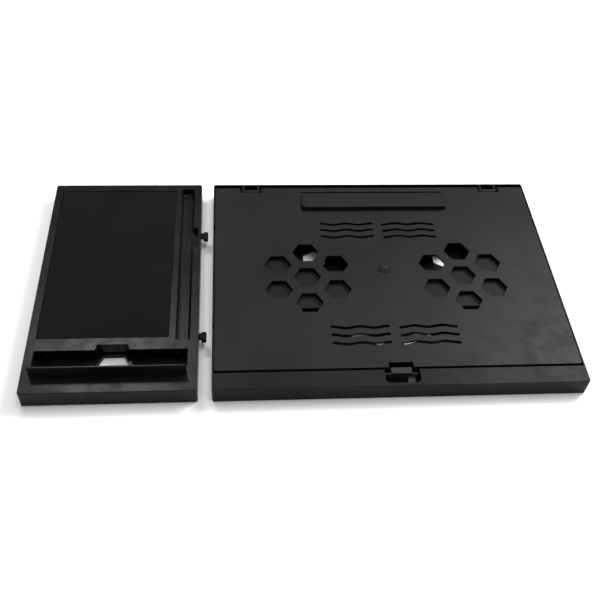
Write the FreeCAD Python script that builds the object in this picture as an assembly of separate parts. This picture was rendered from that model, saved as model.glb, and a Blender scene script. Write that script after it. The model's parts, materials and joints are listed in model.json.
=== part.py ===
import FreeCAD, Part
import math
import os

# Two-piece laptop cooling table, in millimetres.
# Origin: middle of the whole object's footprint, on the surface it stands on.
# +X runs to the main unit's far side, +Y to the lid's hinge side, +Z up.

V = FreeCAD.Vector

# ---- driving dimensions ----------------------------------------------------
DEPTH = 300.0              # both units, along Y
MAIN_W = 382.0             # main unit, along X
TRAY_W = 172.0             # side tray, along X
DOCK_GAP = 14.0            # space between the two units while they stand apart
FOOT_H = 1.0               # underside of both housings above the surface
TOP_Z = 21.0               # upper face of lid, rims and tray
PLATE = 2.4                # lid and tray skin
SIDE_WALL = 1.8
REAR_WALL = 1.5
FRONT_WALL = 2.4
FLOOR = 2.0

TOTAL_W = MAIN_W + TRAY_W + DOCK_GAP
MAIN_X = TOTAL_W / 2 - MAIN_W / 2        # middle of the main unit
TRAY_X = -TOTAL_W / 2 + TRAY_W / 2       # middle of the tray
HALF_D = DEPTH / 2
HALF_MAIN = MAIN_W / 2
HALF_TRAY = TRAY_W / 2
FLOOR_TOP = FOOT_H + FLOOR
SKIN_Z = TOP_Z - PLATE                   # underside of the lid's plate

# lid and its hinge
LID_HALF_W = 188.7
LID_FRONT = -127.2
LID_BACK = 143.8
STRIP_BACK = -130.0                      # rear edge of the fixed front strip
HINGE_Y = 140.2
HINGE_Z = 17.6
HINGE_PIN_R = 1.0
KNUCKLE_R = 2.6
HINGE_X = 146.3                          # middle of each hinge notch
NOTCH_W = 25.5
NOTCH_Y = 135.0
EAR_W = 2.5
EAR_X = 9.0                              # middle of each ear from the notch's middle

# vents
HEX_X = 87.0
HEX_Y = -2.5
HEX_PITCH = 37.07
HEX_R = 15.2
WAVE_START = 6.7
WAVE_LENGTH = 59.3
WAVE_WIDTH = 3.6
WAVE_AMPLITUDE = 1.1
WAVE_ROWS = (80.0, 69.7, 59.1, -74.6, -85.3, -96.1)

# laptop stop on the lid
STOP_HALF_W = 86.5
STOP_FRONT = 104.0
STOP_AXIS_Y = 133.8
STOP_AXIS_Z = 19.4
STOP_R = 2.0
STOP_TOP = 26.7
STOP_PIN_R = 0.8
POCKET_FLOOR = 17.2

# prop that holds the lid up
PROP_Y = 12.0
PROP_Z = 15.0
FOOT_Y = -117.8
FOOT_Z = 6.1
FOOT_R = 2.5
PROP_PIN_R = 1.5
STEM_HALF = 9.5
FOOT_HALF = 34.0

# deck and fans
DECK_TOP = 15.6
DECK_T = 2.0
DECK_HALF_W = 170.0
DECK_FRONT = -43.0
DECK_BACK = 128.0
FAN_X = 36.0
FAN_Y = 64.5
FAN_SIDE = 50.0
FAN_BASE = 3.8
FAN_TOP = DECK_TOP - DECK_T
FAN_BORE = 23.3
HUB_R = 12.0
HUB_FLOOR = 5.6
HUB_TOP = 13.2
BLADES = 5
BLADE_TIP = 21.5
FAN_HOLES = 20.0
SHAFT_R = 1.0
FLOOR_HEX = ((75.7, 40.7), (61.2, 65.9), (32.1, 65.9))
FLOOR_HEX_R = 14.4
WINDOW_EDGE = 77.8                       # the right-hand outer window ends here, on solid floor
# outline of the deck's opening above the outer floor window, for the right-hand side
DECK_BAY = ((104.5, 24.0), (78.0, 24.0), (68.0, 10.5), (38.0, 10.5), (38.0, 35.5), (63.0, 35.5), (63.0, 54.0),
            (104.5, 54.0))

# latch
LATCH_POCKET_HALF = 18.0
LATCH_POCKET_FRONT = -146.3
LATCH_FLOOR = 7.5
LATCH_BASE = LATCH_FLOOR + 0.2
LATCH_NOTCH_HALF = 12.7
LATCH_NOTCH_Y = -120.9
SPRING_X = 10.0
SPRING_Z = 11.0

# tray
MAT_BOX = (-77.7, 56.3, -83.5, 139.0)
MAT_DEPTH = 1.8
PEN_X = (62.5, 77.7)
PEN_Y = (-87.0, 142.0)
PEN_FLOOR = 12.0
PEN_END_R = 5.0                          # upright corners at the trough's rear end
PEN_BOTTOM_R = 4.0                       # rounding along the trough's floor
PEN_WALL = 1.8
SCOOP = (72.0, 83.2, 46.0, 75.6, 12.6)
SLOT_X = (-77.3, 75.8)
SLOT_Y = (-130.2, -98.4)
SLOT_FLOOR = 5.5
FLAP_Y = -121.6
FLAP_Z = 12.4
FLAP_R = 8.4
FLAP_TIP = 22.8
FLAP_T = 2.0
FLAP_PIN_R = 1.5
HOOK_Y = (68.5, -78.5)
DOCK_SLOTS = ((62.4, 80.0), (-84.6, -69.0))
DOCK_NOTCHES = ((73.2, 80.0), (-75.0, -69.0))

# fastener and boss positions, from the middle of their unit
DECK_BOSSES = [(-160.0, -34.0), (-24.0, -34.0), (24.0, -34.0), (160.0, -34.0), (-160.0, 115.0), (0.0, 96.0),
               (160.0, 115.0)]
MAIN_FEET = [(x, y) for x in (-170.0, 170.0) for y in (-132.0, 132.0)] + [(0.0, 132.0)]
TRAY_BOSSES = [(-70.0, -141.0), (70.0, -141.0), (-70.0, 140.0), (50.0, 140.0), (-70.0, 10.0), (50.0, 10.0)]
TRAY_FEET = [(x, y) for x in (-66.0, 66.0) for y in (-116.0, 120.0)]
BOARD = (172.0, 188.8, 84.0, 106.0, 3.6, 4.8)
SOCKET_Y = 95.0


# ---- small helpers ---------------------------------------------------------
def block(x0, x1, y0, y1, z0, z1):
    """Box between two corners."""
    return Part.makeBox(x1 - x0, y1 - y0, z1 - z0, V(x0, y0, z0))


def tube(radius, start, end):
    """Round bar between two points."""
    a = V(*start)
    d = V(*end) - a
    return Part.makeCylinder(radius, d.Length, a, d)


def join(shapes):
    """Fuse a list of solids and merge coplanar faces."""
    first = shapes[0]
    if len(shapes) > 1:
        first = first.multiFuse(shapes[1:])
    return first.removeSplitter()


def prism_z(points, z0, z1):
    """Polygon in XY raised from z0 to z1."""
    wire = Part.makePolygon([V(x, y, z0) for x, y in points + points[:1]])
    return Part.Face(wire).extrude(V(0, 0, z1 - z0))


def prism_x(points, x0, x1):
    """Polygon of (y, z) points pushed from x0 to x1."""
    wire = Part.makePolygon([V(x0, y, z) for y, z in points + points[:1]])
    return Part.Face(wire).extrude(V(x1 - x0, 0, 0))


def hexagon(cx, cy, radius, z0, z1, start_deg):
    """Hexagonal prism with a corner at start_deg."""
    angles = [math.radians(start_deg + 60 * k) for k in range(6)]
    return prism_z([(cx + radius * math.cos(a), cy + radius * math.sin(a)) for a in angles], z0, z1)


def edges_along(shape, axis, test=None):
    """Straight edges parallel to axis whose middle passes the test."""
    found = []
    for edge in shape.Edges:
        if len(edge.Vertexes) != 2:
            continue
        d = edge.Vertexes[1].Point - edge.Vertexes[0].Point
        if d.Length > 0 and abs(d.normalize().dot(axis)) > 0.999:
            if test is None or test(edge.CenterOfMass):
                found.append(edge)
    return found


def soft_box(x0, x1, y0, y1, z0, z1, corner, rim):
    """Box with rounded upright corners and a softened upper rim."""
    body = block(x0, x1, y0, y1, z0, z1)
    body = body.makeFillet(corner, edges_along(body, V(0, 0, 1)))
    if rim:
        top = [e for e in body.Edges if abs(e.CenterOfMass.z - z1) < 1e-6]
        body = body.makeFillet(rim, top)
    return body


def stadium(cx, cy, length, width, angle, z0, z1):
    """Long hole with round ends, turned by angle degrees."""
    half = (length - width) / 2
    parts = [block(-half, half, -width / 2, width / 2, z0, z1)]
    parts += [Part.makeCylinder(width / 2, z1 - z0, V(x, 0, z0)) for x in (-half, half)]
    body = join(parts)
    body.rotate(V(0, 0, 0), V(0, 0, 1), angle)
    body.translate(V(cx, cy, 0))
    return body


def screw(x, y, head_z, head_h, head_r, shank_r, shank_end):
    """Pan-head screw on a vertical axis; the shank runs from the head to shank_end."""
    step = head_h if shank_end < head_z else -head_h
    head = tube(head_r, (x, y, head_z), (x, y, head_z + step))
    shank = tube(shank_r, (x, y, head_z), (x, y, shank_end))
    cross = [block(x - 0.3, x + 0.3, y - 1.5, y + 1.5, 0, 1), block(x - 1.5, x + 1.5, y - 0.3, y + 0.3, 0, 1)]
    recess = join(cross)
    recess.translate(V(0, 0, head_z + step - (0.7 if step > 0 else 0.3)))
    return head.fuse(shank).cut(recess).removeSplitter()


def at_main(shape):
    """Move a shape drawn about the main unit's middle to its place."""
    shape.translate(V(MAIN_X, 0, 0))
    return shape


def at_tray(shape):
    """Move a shape drawn about the tray's middle to its place."""
    shape.translate(V(TRAY_X, 0, 0))
    return shape


def group(shapes):
    """Several separate solids of one kind."""
    return Part.makeCompound(shapes)


# ---- main unit: housing ----------------------------------------------------
def latch_pocket():
    """Sunk pocket in the front strip with rounded front corners."""
    cut = block(-LATCH_POCKET_HALF, LATCH_POCKET_HALF, LATCH_POCKET_FRONT, -128.0, LATCH_FLOOR, TOP_Z + 1)
    front = edges_along(cut, V(0, 0, 1), lambda p: p.y < -140)
    return cut.makeFillet(5.0, front)


def hinge_ears():
    """Upright ears behind the lid that carry the hinge pins."""
    ears = []
    for side in (-1, 1):
        for offset in (-EAR_X, EAR_X):
            x = side * HINGE_X + offset
            arm = block(x - EAR_W / 2, x + EAR_W / 2, HINGE_Y, HALF_D - 1, HINGE_Z - 2.8, HINGE_Z + 2.8)
            nose = tube(2.8, (x - EAR_W / 2, HINGE_Y, HINGE_Z), (x + EAR_W / 2, HINGE_Y, HINGE_Z))
            ears.append(arm.fuse(nose))
    return ears


def base_housing():
    """Open-topped tray that carries the lid, the deck and the fans."""
    body = soft_box(-HALF_MAIN, HALF_MAIN, -HALF_D, HALF_D, FOOT_H, TOP_Z, 2.5, 0.7)
    inner_x = HALF_MAIN - SIDE_WALL
    bay = block(-inner_x, inner_x, STRIP_BACK, HALF_D - REAR_WALL, FLOOR_TOP, TOP_Z + 1)
    under_strip = block(-inner_x, inner_x, -HALF_D + FRONT_WALL, STRIP_BACK, FLOOR_TOP, TOP_Z - 2)
    body = body.cut(bay.fuse(under_strip))
    added = hinge_ears()
    # ledges that the lid comes down on
    for side in (-1, 1):
        x0, x1 = sorted((side * (inner_x - 3.0), side * (inner_x + 0.5)))
        added.append(block(x0, x1, -120, 130, 16.6, SKIN_Z - 0.2))
    # ribs under the front strip and the tub of the latch
    for x in (-100, 100):
        added.append(block(x - 0.8, x + 0.8, -HALF_D + 1, STRIP_BACK, FLOOR_TOP - 0.5, TOP_Z - 1.5))
    added.append(block(-LATCH_POCKET_HALF - 2, LATCH_POCKET_HALF + 2, -HALF_D + 1, STRIP_BACK,
                       LATCH_FLOOR - 2, TOP_Z - 1))
    # bosses under the deck and the ridge that the prop's foot stops against
    added += [tube(4.0, (x, y, FLOOR_TOP - 0.5), (x, y, FAN_TOP)) for x, y in DECK_BOSSES]
    added.append(block(-37, 37, -76.8, -74.6, FLOOR_TOP - 0.5, FLOOR_TOP + 3))
    for y in (SOCKET_Y - 9, SOCKET_Y + 9):
        added.append(block(178, 184, y - 1.5, y + 1.5, FLOOR_TOP - 0.5, BOARD[4]))
    body = join([body] + added)
    cuts = [latch_pocket()]
    for side in (-1, 1):
        x0, x1 = side * (HINGE_X - 12), side * (HINGE_X + 12)
        cuts.append(tube(HINGE_PIN_R, (x0, HINGE_Y, HINGE_Z), (x1, HINGE_Y, HINGE_Z)))
        windows = [hexagon(side * x, y, FLOOR_HEX_R, 0, FLOOR_TOP + 1, 30) for x, y in FLOOR_HEX]
        if side > 0:
            windows[0] = windows[0].cut(block(WINDOW_EDGE, 95, 20, 60, -1, FLOOR_TOP + 2))
        cuts += windows
        cuts.append(stadium(side * 26, -75, 37, 11.5, side * 20.5, 0, FLOOR_TOP + 0.01))
    cuts += [tube(1.5, (x, y, FAN_TOP - 7), (x, y, FAN_TOP + 1)) for x, y in DECK_BOSSES]
    cuts += [tube(6.2, (x, y, 0), (x, y, FOOT_H + 1)) for x, y in MAIN_FEET]
    for (y0, y1), (n0, n1) in zip(DOCK_SLOTS, DOCK_NOTCHES):
        cuts.append(block(-HALF_MAIN - 1, -inner_x + 0.5, y0, y1, 10.5, 16.5))
        cuts.append(block(-HALF_MAIN - 1, -inner_x + 3.5, n0, n1, 10.5, TOP_Z + 1))
    cuts.append(block(inner_x - 0.5, HALF_MAIN + 1, SOCKET_Y - 4.2, SOCKET_Y + 4.2, 4.6, 8.3))
    return body.cut(join(cuts)).removeSplitter()


def deck_plate():
    """Inner plate under the vents, open above each fan and each outer floor window."""
    plate = soft_box(-DECK_HALF_W, DECK_HALF_W, DECK_FRONT, DECK_BACK, FAN_TOP, DECK_TOP, 6.0, 0)
    channel = block(-16, 16, DECK_FRONT - 1, 22, FAN_TOP - 1, DECK_TOP + 1)
    cuts = [channel]
    cuts += [tube(1.9, (x, y, 10), (x, y, 20)) for x, y in DECK_BOSSES]
    for side in (-1, 1):
        cuts.append(tube(FAN_BORE + 0.2, (side * FAN_X, FAN_Y, 10), (side * FAN_X, FAN_Y, 20)))
        cuts.append(prism_z([(side * x, y) for x, y in DECK_BAY], 10, 20))
        cuts += [tube(1.9, (x, y, 10), (x, y, 20)) for x, y in fan_corners(side)]
    return plate.cut(join(cuts))


def fan_corners(side):
    """Screw positions of one fan."""
    reach = (-FAN_HOLES, FAN_HOLES)
    return [(side * FAN_X + dx, FAN_Y + dy) for dx in reach for dy in reach]


def rubber_feet(places):
    """Round feet pressed into recesses of the underside."""
    feet = []
    for x, y in places:
        foot = tube(6.0, (x, y, 0), (x, y, FOOT_H + 1))
        rim = [e for e in foot.Edges if abs(e.CenterOfMass.z) < 1e-6]
        feet.append(foot.makeFillet(0.5, rim))
    return group(feet)


# ---- main unit: fans -------------------------------------------------------
def fan_frame(side):
    """Square fan frame with a round duct, a motor plate and three arms."""
    half = FAN_SIDE / 2
    cx = side * FAN_X
    body = block(cx - half, cx + half, FAN_Y - half, FAN_Y + half, FAN_BASE, FAN_TOP)
    body = body.makeFillet(3.0, edges_along(body, V(0, 0, 1)))
    body = body.cut(tube(FAN_BORE, (cx, FAN_Y, 0), (cx, FAN_Y, 20)))
    # relieved middle of each side between the two flanges
    for angle in range(4):
        relief = block(half - 1.2, half + 1, -13, 13, FAN_BASE + 2, FAN_TOP - 2)
        relief.rotate(V(0, 0, 0), V(0, 0, 1), 90 * angle)
        relief.translate(V(cx, FAN_Y, 0))
        body = body.cut(relief)
    plate = tube(13.0, (cx, FAN_Y, FAN_BASE), (cx, FAN_Y, FAN_BASE + 1))
    arms = []
    for k in range(3):
        arm = block(11, FAN_BORE + 1, -1.6, 1.6, FAN_BASE, FAN_BASE + 1.4)
        arm.rotate(V(0, 0, 0), V(0, 0, 1), 20 + 120 * k)
        arm.translate(V(cx, FAN_Y, 0))
        arms.append(arm)
    body = join([body, plate] + arms)
    bore = tube(2.2, (cx, FAN_Y, 0), (cx, FAN_Y, 20))
    holes = [tube(1.75, (x, y, 0), (x, y, 20)) for x, y in fan_corners(side)]
    return body.cut(join([bore] + holes))


def fan_bearing(side):
    """Sleeve bearing standing in the motor plate."""
    cx = side * FAN_X
    outer = tube(2.2, (cx, FAN_Y, FAN_BASE), (cx, FAN_Y, 10.8))
    return outer.cut(tube(SHAFT_R + 0.05, (cx, FAN_Y, 0), (cx, FAN_Y, 20)))


def fan_stator(side):
    """Wound core round the bearing, with four pole pieces."""
    cx = side * FAN_X
    parts = [tube(4.2, (cx, FAN_Y, 5.0), (cx, FAN_Y, 10.4))]
    for k in range(4):
        pole = block(3.5, 8.6, -1.6, 1.6, 6.0, 9.6)
        shoe = tube(9.6, (0, 0, 6.6), (0, 0, 9.0)).cut(tube(8.2, (0, 0, 6), (0, 0, 10)))
        shoe = shoe.common(block(5, 11, -4.6, 4.6, 6, 10))
        arm = pole.fuse(shoe)
        arm.rotate(V(0, 0, 0), V(0, 0, 1), 90 * k + 45)
        arm.translate(V(cx, FAN_Y, 0))
        parts.append(arm)
    return join(parts).cut(tube(2.2, (cx, FAN_Y, 0), (cx, FAN_Y, 20)))


def blade_section(radius, chord, pitch_deg, sweep):
    """Thin rectangle across the blade at one radius."""
    c = math.cos(math.radians(pitch_deg))
    s = math.sin(math.radians(pitch_deg))
    mid = (FAN_BASE + FAN_TOP) / 2 + 0.3
    corners = []
    for u, w in ((-1, -1), (1, -1), (1, 1), (-1, 1)):
        du = u * chord / 2
        dw = w * 0.6
        corners.append(V(radius, sweep + du * c - dw * s, mid + du * s + dw * c))
    return Part.makePolygon(corners + corners[:1])


def fan_rotor(side):
    """Cup-shaped hub with five swept blades."""
    cx = side * FAN_X
    hub = tube(HUB_R, (0, 0, HUB_FLOOR), (0, 0, HUB_TOP))
    hub = hub.cut(tube(HUB_R - 1.4, (0, 0, HUB_FLOOR - 1), (0, 0, HUB_TOP - 1.2)))
    top = [e for e in hub.Edges if abs(e.CenterOfMass.z - HUB_TOP) < 1e-6]
    hub = hub.makeFillet(0.8, top)
    parts = [hub]
    for k in range(BLADES):
        sections = [blade_section(HUB_R - 0.7, 8.5, 42, 0), blade_section(BLADE_TIP, 11.0, 30, side * 2.5)]
        blade = Part.makeLoft(sections, True, True)
        blade.rotate(V(0, 0, 0), V(0, 0, 1), 90 + 360 * k / BLADES)
        parts.append(blade)
    body = join(parts).cut(tube(SHAFT_R, (0, 0, 0), (0, 0, HUB_TOP - 0.6)))
    body.translate(V(cx, FAN_Y, 0))
    return body


def fan_shaft(side):
    """Steel shaft pressed into the hub and turning in the bearing."""
    return tube(SHAFT_R, (side * FAN_X, FAN_Y, 5.0), (side * FAN_X, FAN_Y, 12.6))


def fan_screws():
    """Screws that hold both fans to the deck."""
    return group([screw(x, y, DECK_TOP, 1.2, 3.0, 1.7, 6.0) for s in (-1, 1) for x, y in fan_corners(s)])


def deck_screws():
    """Screws that hold the deck to the housing's bosses."""
    return group([screw(x, y, DECK_TOP, 1.2, 3.2, 1.45, FAN_TOP - 6) for x, y in DECK_BOSSES])


# ---- main unit: power inlet ------------------------------------------------
def socket_board():
    """Small circuit board behind the right wall."""
    return block(*BOARD)


def power_socket():
    """Metal-shelled inlet soldered to the board, facing out through the wall."""
    z0 = BOARD[5]
    shell = block(180.5, 190.2, SOCKET_Y - 3.8, SOCKET_Y + 3.8, z0, z0 + 3.2)
    mouth = block(182, 191, SOCKET_Y - 3.3, SOCKET_Y + 3.3, z0 + 0.5, z0 + 2.7)
    tongue = block(181.5, 189.0, SOCKET_Y - 1.9, SOCKET_Y + 1.9, z0 + 1.2, z0 + 1.9)
    return shell.cut(mouth).fuse(tongue).removeSplitter()


def lead(points, radius):
    """Insulated lead through the points, with a round bend at each corner."""
    edges = []
    at = V(*points[0])
    for k in range(1, len(points) - 1):
        corner = V(*points[k])
        back = (V(*points[k - 1]) - corner)
        on = (V(*points[k + 1]) - corner)
        half_turn = (math.pi - back.getAngle(on)) / 2
        trim = 0.45 * min(back.Length, on.Length)
        start = corner + V(back).normalize() * trim
        end = corner + V(on).normalize() * trim
        middle_dir = (V(back).normalize() + V(on).normalize()).normalize()
        arc_r = trim / math.tan(half_turn)
        centre = corner + middle_dir * math.hypot(trim, arc_r)
        middle = centre - middle_dir * arc_r
        edges.append(Part.LineSegment(at, start).toShape())
        edges.append(Part.Arc(start, middle, end).toShape())
        at = end
    edges.append(Part.LineSegment(at, V(*points[-1])).toShape())
    path = Part.Wire(edges)
    first = V(*points[1]) - V(*points[0])
    ring = Part.Wire([Part.makeCircle(radius, V(*points[0]), first)])
    return path.makePipeShell([ring], True, True)


def fan_leads():
    """Leads from the board along the floor to both fans."""
    z = FLOOR_TOP + 1.2
    exit_x = FAN_X + 15
    exit_y = FAN_Y + FAN_SIDE / 2
    right = [(BOARD[0], 88, z), (142, 89, z), (110, 95, z), (76, 98, z), (exit_x, 98, z), (exit_x, exit_y, z)]
    left = [(BOARD[0], 100, z), (112, 104, z), (52, 106, z), (-8, 106, z), (-exit_x, 103, z),
            (-exit_x, exit_y, z)]
    return group([lead(right, 1.1), lead(left, 1.1)])


# ---- main unit: lid --------------------------------------------------------
def wave_slot(x_start, y, sign):
    """Wavy slot: two full waves, first a crest (+1) or a trough (-1)."""
    def spine(t, offset):
        swing = sign * WAVE_AMPLITUDE * math.cos(4 * math.pi * t)
        return V(x_start + WAVE_LENGTH * t, y + swing + offset, SKIN_Z - 4)

    steps = [k / 16 for k in range(17)]
    half = WAVE_WIDTH / 2
    upper = Part.BSplineCurve()
    upper.interpolate([spine(t, half) for t in steps])
    lower = Part.BSplineCurve()
    lower.interpolate([spine(t, -half) for t in steps])
    a, b = spine(0, half), spine(0, -half)
    c, d = spine(1, -half), spine(1, half)
    left = Part.Arc(a, spine(0, 0) - V(half, 0, 0), b).toShape()
    right = Part.Arc(d, spine(1, 0) + V(half, 0, 0), c).toShape()
    wire = Part.Wire(Part.sortEdges([upper.toShape(), right, lower.toShape(), left])[0])
    return Part.Face(wire).extrude(V(0, 0, 12))


def vent_cuts():
    """Two honeycomb flowers and twelve wavy slots."""
    cuts = []
    for side in (-1, 1):
        centres = [(side * HEX_X, HEX_Y)]
        for k in range(6):
            a = math.radians(30 + 60 * k)
            centres.append((side * HEX_X + HEX_PITCH * math.cos(a), HEX_Y + HEX_PITCH * math.sin(a)))
        cuts += [hexagon(x, y, HEX_R, SKIN_Z - 4, TOP_Z + 1, 0) for x, y in centres]
        start = WAVE_START if side > 0 else -WAVE_START - WAVE_LENGTH
        cuts += [wave_slot(start, y, -side) for y in WAVE_ROWS]
    return cuts


def top_plate():
    """Perforated lid that lifts about its rear edge."""
    plate = soft_box(-LID_HALF_W, LID_HALF_W, LID_FRONT, LID_BACK, SKIN_Z, TOP_Z, 3.0, 0.5)
    added = []
    # tub under the laptop stop
    added.append(block(-STOP_HALF_W - 2.2, STOP_HALF_W + 2.2, STOP_FRONT - 2.0, STOP_AXIS_Y + 4.2,
                       POCKET_FLOOR - 1.2, SKIN_Z + 0.5))
    # hinge arms and knuckles
    for side in (-1, 1):
        x0 = side * HINGE_X - EAR_X + EAR_W / 2 + 0.4
        x1 = side * HINGE_X + EAR_X - EAR_W / 2 - 0.4
        added.append(tube(KNUCKLE_R, (x0, HINGE_Y, HINGE_Z), (x1, HINGE_Y, HINGE_Z)))
        added.append(block(x0, x1, 130, HINGE_Y, HINGE_Z - 1.8, SKIN_Z + 0.4))
    # lugs of the prop
    for side in (-1, 1):
        x0, x1 = sorted((side * (STEM_HALF + 0.5), side * (STEM_HALF + 3.5)))
        lug = block(x0, x1, PROP_Y - 4, PROP_Y + 4, PROP_Z, SKIN_Z + 0.4)
        added.append(lug.fuse(tube(4.0, (x0, PROP_Y, PROP_Z), (x1, PROP_Y, PROP_Z)).common(
            block(x0, x1, PROP_Y - 4, PROP_Y + 4, PROP_Z - 4, SKIN_Z))))
    # stiffening ribs
    for x in (-150.0, 150.0):
        added.append(block(x - 0.7, x + 0.7, -118, 122, SKIN_Z - 1.6, SKIN_Z + 0.4))
    added.append(block(-150, 150, -112.7, -111.3, SKIN_Z - 1.6, SKIN_Z + 0.4))
    notches = []
    for side in (-1, 1):
        x = side * HINGE_X
        notches.append(block(x - NOTCH_W / 2, x + NOTCH_W / 2, NOTCH_Y, LID_BACK + 1, SKIN_Z - 1, TOP_Z + 1))
    notches.append(block(-LATCH_NOTCH_HALF, LATCH_NOTCH_HALF, LID_FRONT - 1, LATCH_NOTCH_Y,
                         SKIN_Z - 1, TOP_Z + 1))
    plate = plate.cut(join(notches + vent_cuts()))
    body = join([plate] + added)
    pocket = block(-STOP_HALF_W - 0.4, STOP_HALF_W + 0.4, STOP_FRONT - 0.4, STOP_AXIS_Y + 2.4,
                   POCKET_FLOOR, TOP_Z + 1)
    cuts = [pocket, tube(7.7, (0, 8.7, TOP_Z - 0.6), (0, 8.7, TOP_Z + 1))]
    pin = (STOP_HALF_W + 2.2, STOP_AXIS_Y, STOP_AXIS_Z)
    cuts.append(tube(STOP_PIN_R, (-pin[0] - 1, pin[1], pin[2]), (pin[0] + 1, pin[1], pin[2])))
    cuts.append(tube(PROP_PIN_R, (-20, PROP_Y, PROP_Z), (20, PROP_Y, PROP_Z)))
    for side in (-1, 1):
        x = side * HINGE_X
        cuts.append(tube(HINGE_PIN_R + 0.05, (x - 11, HINGE_Y, HINGE_Z), (x + 11, HINGE_Y, HINGE_Z)))
    return body.cut(join(cuts)).removeSplitter()


def hinge_pins():
    """Steel pins held in the housing's ears."""
    reach = EAR_X + EAR_W / 2 + 0.8
    pins = []
    for side in (-1, 1):
        x = side * HINGE_X
        pins.append(tube(HINGE_PIN_R, (x - reach, HINGE_Y, HINGE_Z), (x + reach, HINGE_Y, HINGE_Z)))
    return group(pins)


def badge_disc():
    """Plain round disc set into the lid."""
    disc = tube(7.5, (0, 8.7, TOP_Z - 0.6), (0, 8.7, TOP_Z + 0.2))
    return disc.makeFillet(0.35, [e for e in disc.Edges if abs(e.CenterOfMass.z - TOP_Z - 0.2) < 1e-6])


def laptop_stop():
    """Wedge-shaped bar that keeps a laptop from sliding, hinged at its rear edge."""
    low = POCKET_FLOOR + 0.4
    outline = [(STOP_FRONT, low), (STOP_FRONT, STOP_TOP), (STOP_AXIS_Y, STOP_AXIS_Z + STOP_R),
               (STOP_AXIS_Y, low)]
    wedge = prism_x(outline, -STOP_HALF_W, STOP_HALF_W)
    wedge = wedge.makeFillet(6.0, edges_along(wedge, V(0, 0, 1), lambda p: p.y < STOP_FRONT + 1))
    rim = [e for e in wedge.Edges if e.BoundBox.ZMin > 20 and e.CenterOfMass.z > STOP_AXIS_Z + STOP_R + 0.1]
    wedge = wedge.makeFillet(0.8, rim)
    knuckle = tube(STOP_R, (-STOP_HALF_W, STOP_AXIS_Y, STOP_AXIS_Z), (STOP_HALF_W, STOP_AXIS_Y, STOP_AXIS_Z))
    body = wedge.fuse(knuckle).removeSplitter()
    hollow = prism_x([(STOP_FRONT + 6, low - 1), (STOP_FRONT + 6, STOP_TOP - 4.2),
                      (STOP_AXIS_Y - 6, STOP_AXIS_Z + 0.3), (STOP_AXIS_Y - 6, low - 1)],
                     -STOP_HALF_W + 8, STOP_HALF_W - 8)
    ribs = [block(x - 0.8, x + 0.8, STOP_FRONT, STOP_AXIS_Y, low - 2, STOP_TOP) for x in (-45, 0, 45)]
    hollow = hollow.cut(join(ribs))
    bores = []
    for side in (-1, 1):
        x0, x1 = side * (STOP_HALF_W - 4), side * (STOP_HALF_W + 1)
        bores.append(tube(STOP_PIN_R + 0.05, (x0, STOP_AXIS_Y, STOP_AXIS_Z), (x1, STOP_AXIS_Y, STOP_AXIS_Z)))
    return body.cut(hollow).cut(join(bores))


def stop_pins():
    """Short pins at both ends of the laptop stop, fixed in the lid."""
    pins = []
    for side in (-1, 1):
        x0, x1 = side * (STOP_HALF_W - 3.8), side * (STOP_HALF_W + 2.2)
        pins.append(tube(STOP_PIN_R, (x0, STOP_AXIS_Y, STOP_AXIS_Z), (x1, STOP_AXIS_Y, STOP_AXIS_Z)))
    return group(pins)


# ---- main unit: prop and latch ---------------------------------------------
def prop_stand():
    """T-shaped prop under the lid: a flat stem with a wide foot."""
    run = V(0, FOOT_Y - PROP_Y, FOOT_Z - PROP_Z)
    length = run.Length
    stem = block(-STEM_HALF, STEM_HALF, -length, 0, -2.0, 2.0)
    window = block(-STEM_HALF + 4, STEM_HALF - 4, -length + 22, -14, -3, 3)
    ribs = join([block(-STEM_HALF, STEM_HALF, -y - 0.9, -y + 0.9, -2.0, 2.0) for y in (45, 75)])
    foot = block(-FOOT_HALF, FOOT_HALF, -length, -length + 13, -1.6, 1.6)
    foot = foot.makeFillet(4.0, edges_along(foot, V(0, 0, 1), lambda p: p.y > -length + 1))
    body = join([stem.cut(window), ribs, foot, tube(3.2, (-STEM_HALF, 0, 0), (STEM_HALF, 0, 0))])
    body = body.cut(tube(PROP_PIN_R + 0.05, (-20, 0, 0), (20, 0, 0)))
    body = body.cut(tube(FOOT_R, (-FOOT_HALF, -length, 0), (FOOT_HALF, -length, 0)))
    body.rotate(V(0, 0, 0), V(1, 0, 0), math.degrees(math.atan2(PROP_Z - FOOT_Z, PROP_Y - FOOT_Y)))
    body.translate(V(0, PROP_Y, PROP_Z))
    return body


def prop_pin():
    """Pin through the lid's lugs and the prop's knuckle."""
    reach = STEM_HALF + 3.5
    return tube(PROP_PIN_R, (-reach, PROP_Y, PROP_Z), (reach, PROP_Y, PROP_Z))


def prop_grip():
    """Rubber rod along the prop's foot."""
    return tube(FOOT_R, (-FOOT_HALF, FOOT_Y, FOOT_Z), (FOOT_HALF, FOOT_Y, FOOT_Z))


def latch_button():
    """Sliding latch: a raised thumb tab on a cross bar, with a lug that seats the spring."""
    slide = block(-15, 15, -134.2, -131.5, LATCH_BASE, 14.6)
    bar = block(-16.8, 16.8, -133.6, -132.4, LATCH_BASE, 18.0)
    lug = block(SPRING_X - 3.8, SPRING_X + 3.8, -141.2, -134.0, LATCH_BASE, 14.0)
    lug = lug.makeFillet(0.8, edges_along(lug, V(0, 0, 1), lambda p: p.y < -141))
    tab = block(-10.6, 10.2, -134.0, -126.3, 14.0, 19.8)
    tab = tab.makeFillet(0.8, edges_along(tab, V(1, 0, 0), lambda p: p.z > 19))
    seat = tube(1.5, (SPRING_X, -141.5, SPRING_Z), (SPRING_X, -139.0, SPRING_Z))
    return join([slide, bar, lug, tab]).cut(seat)


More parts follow.
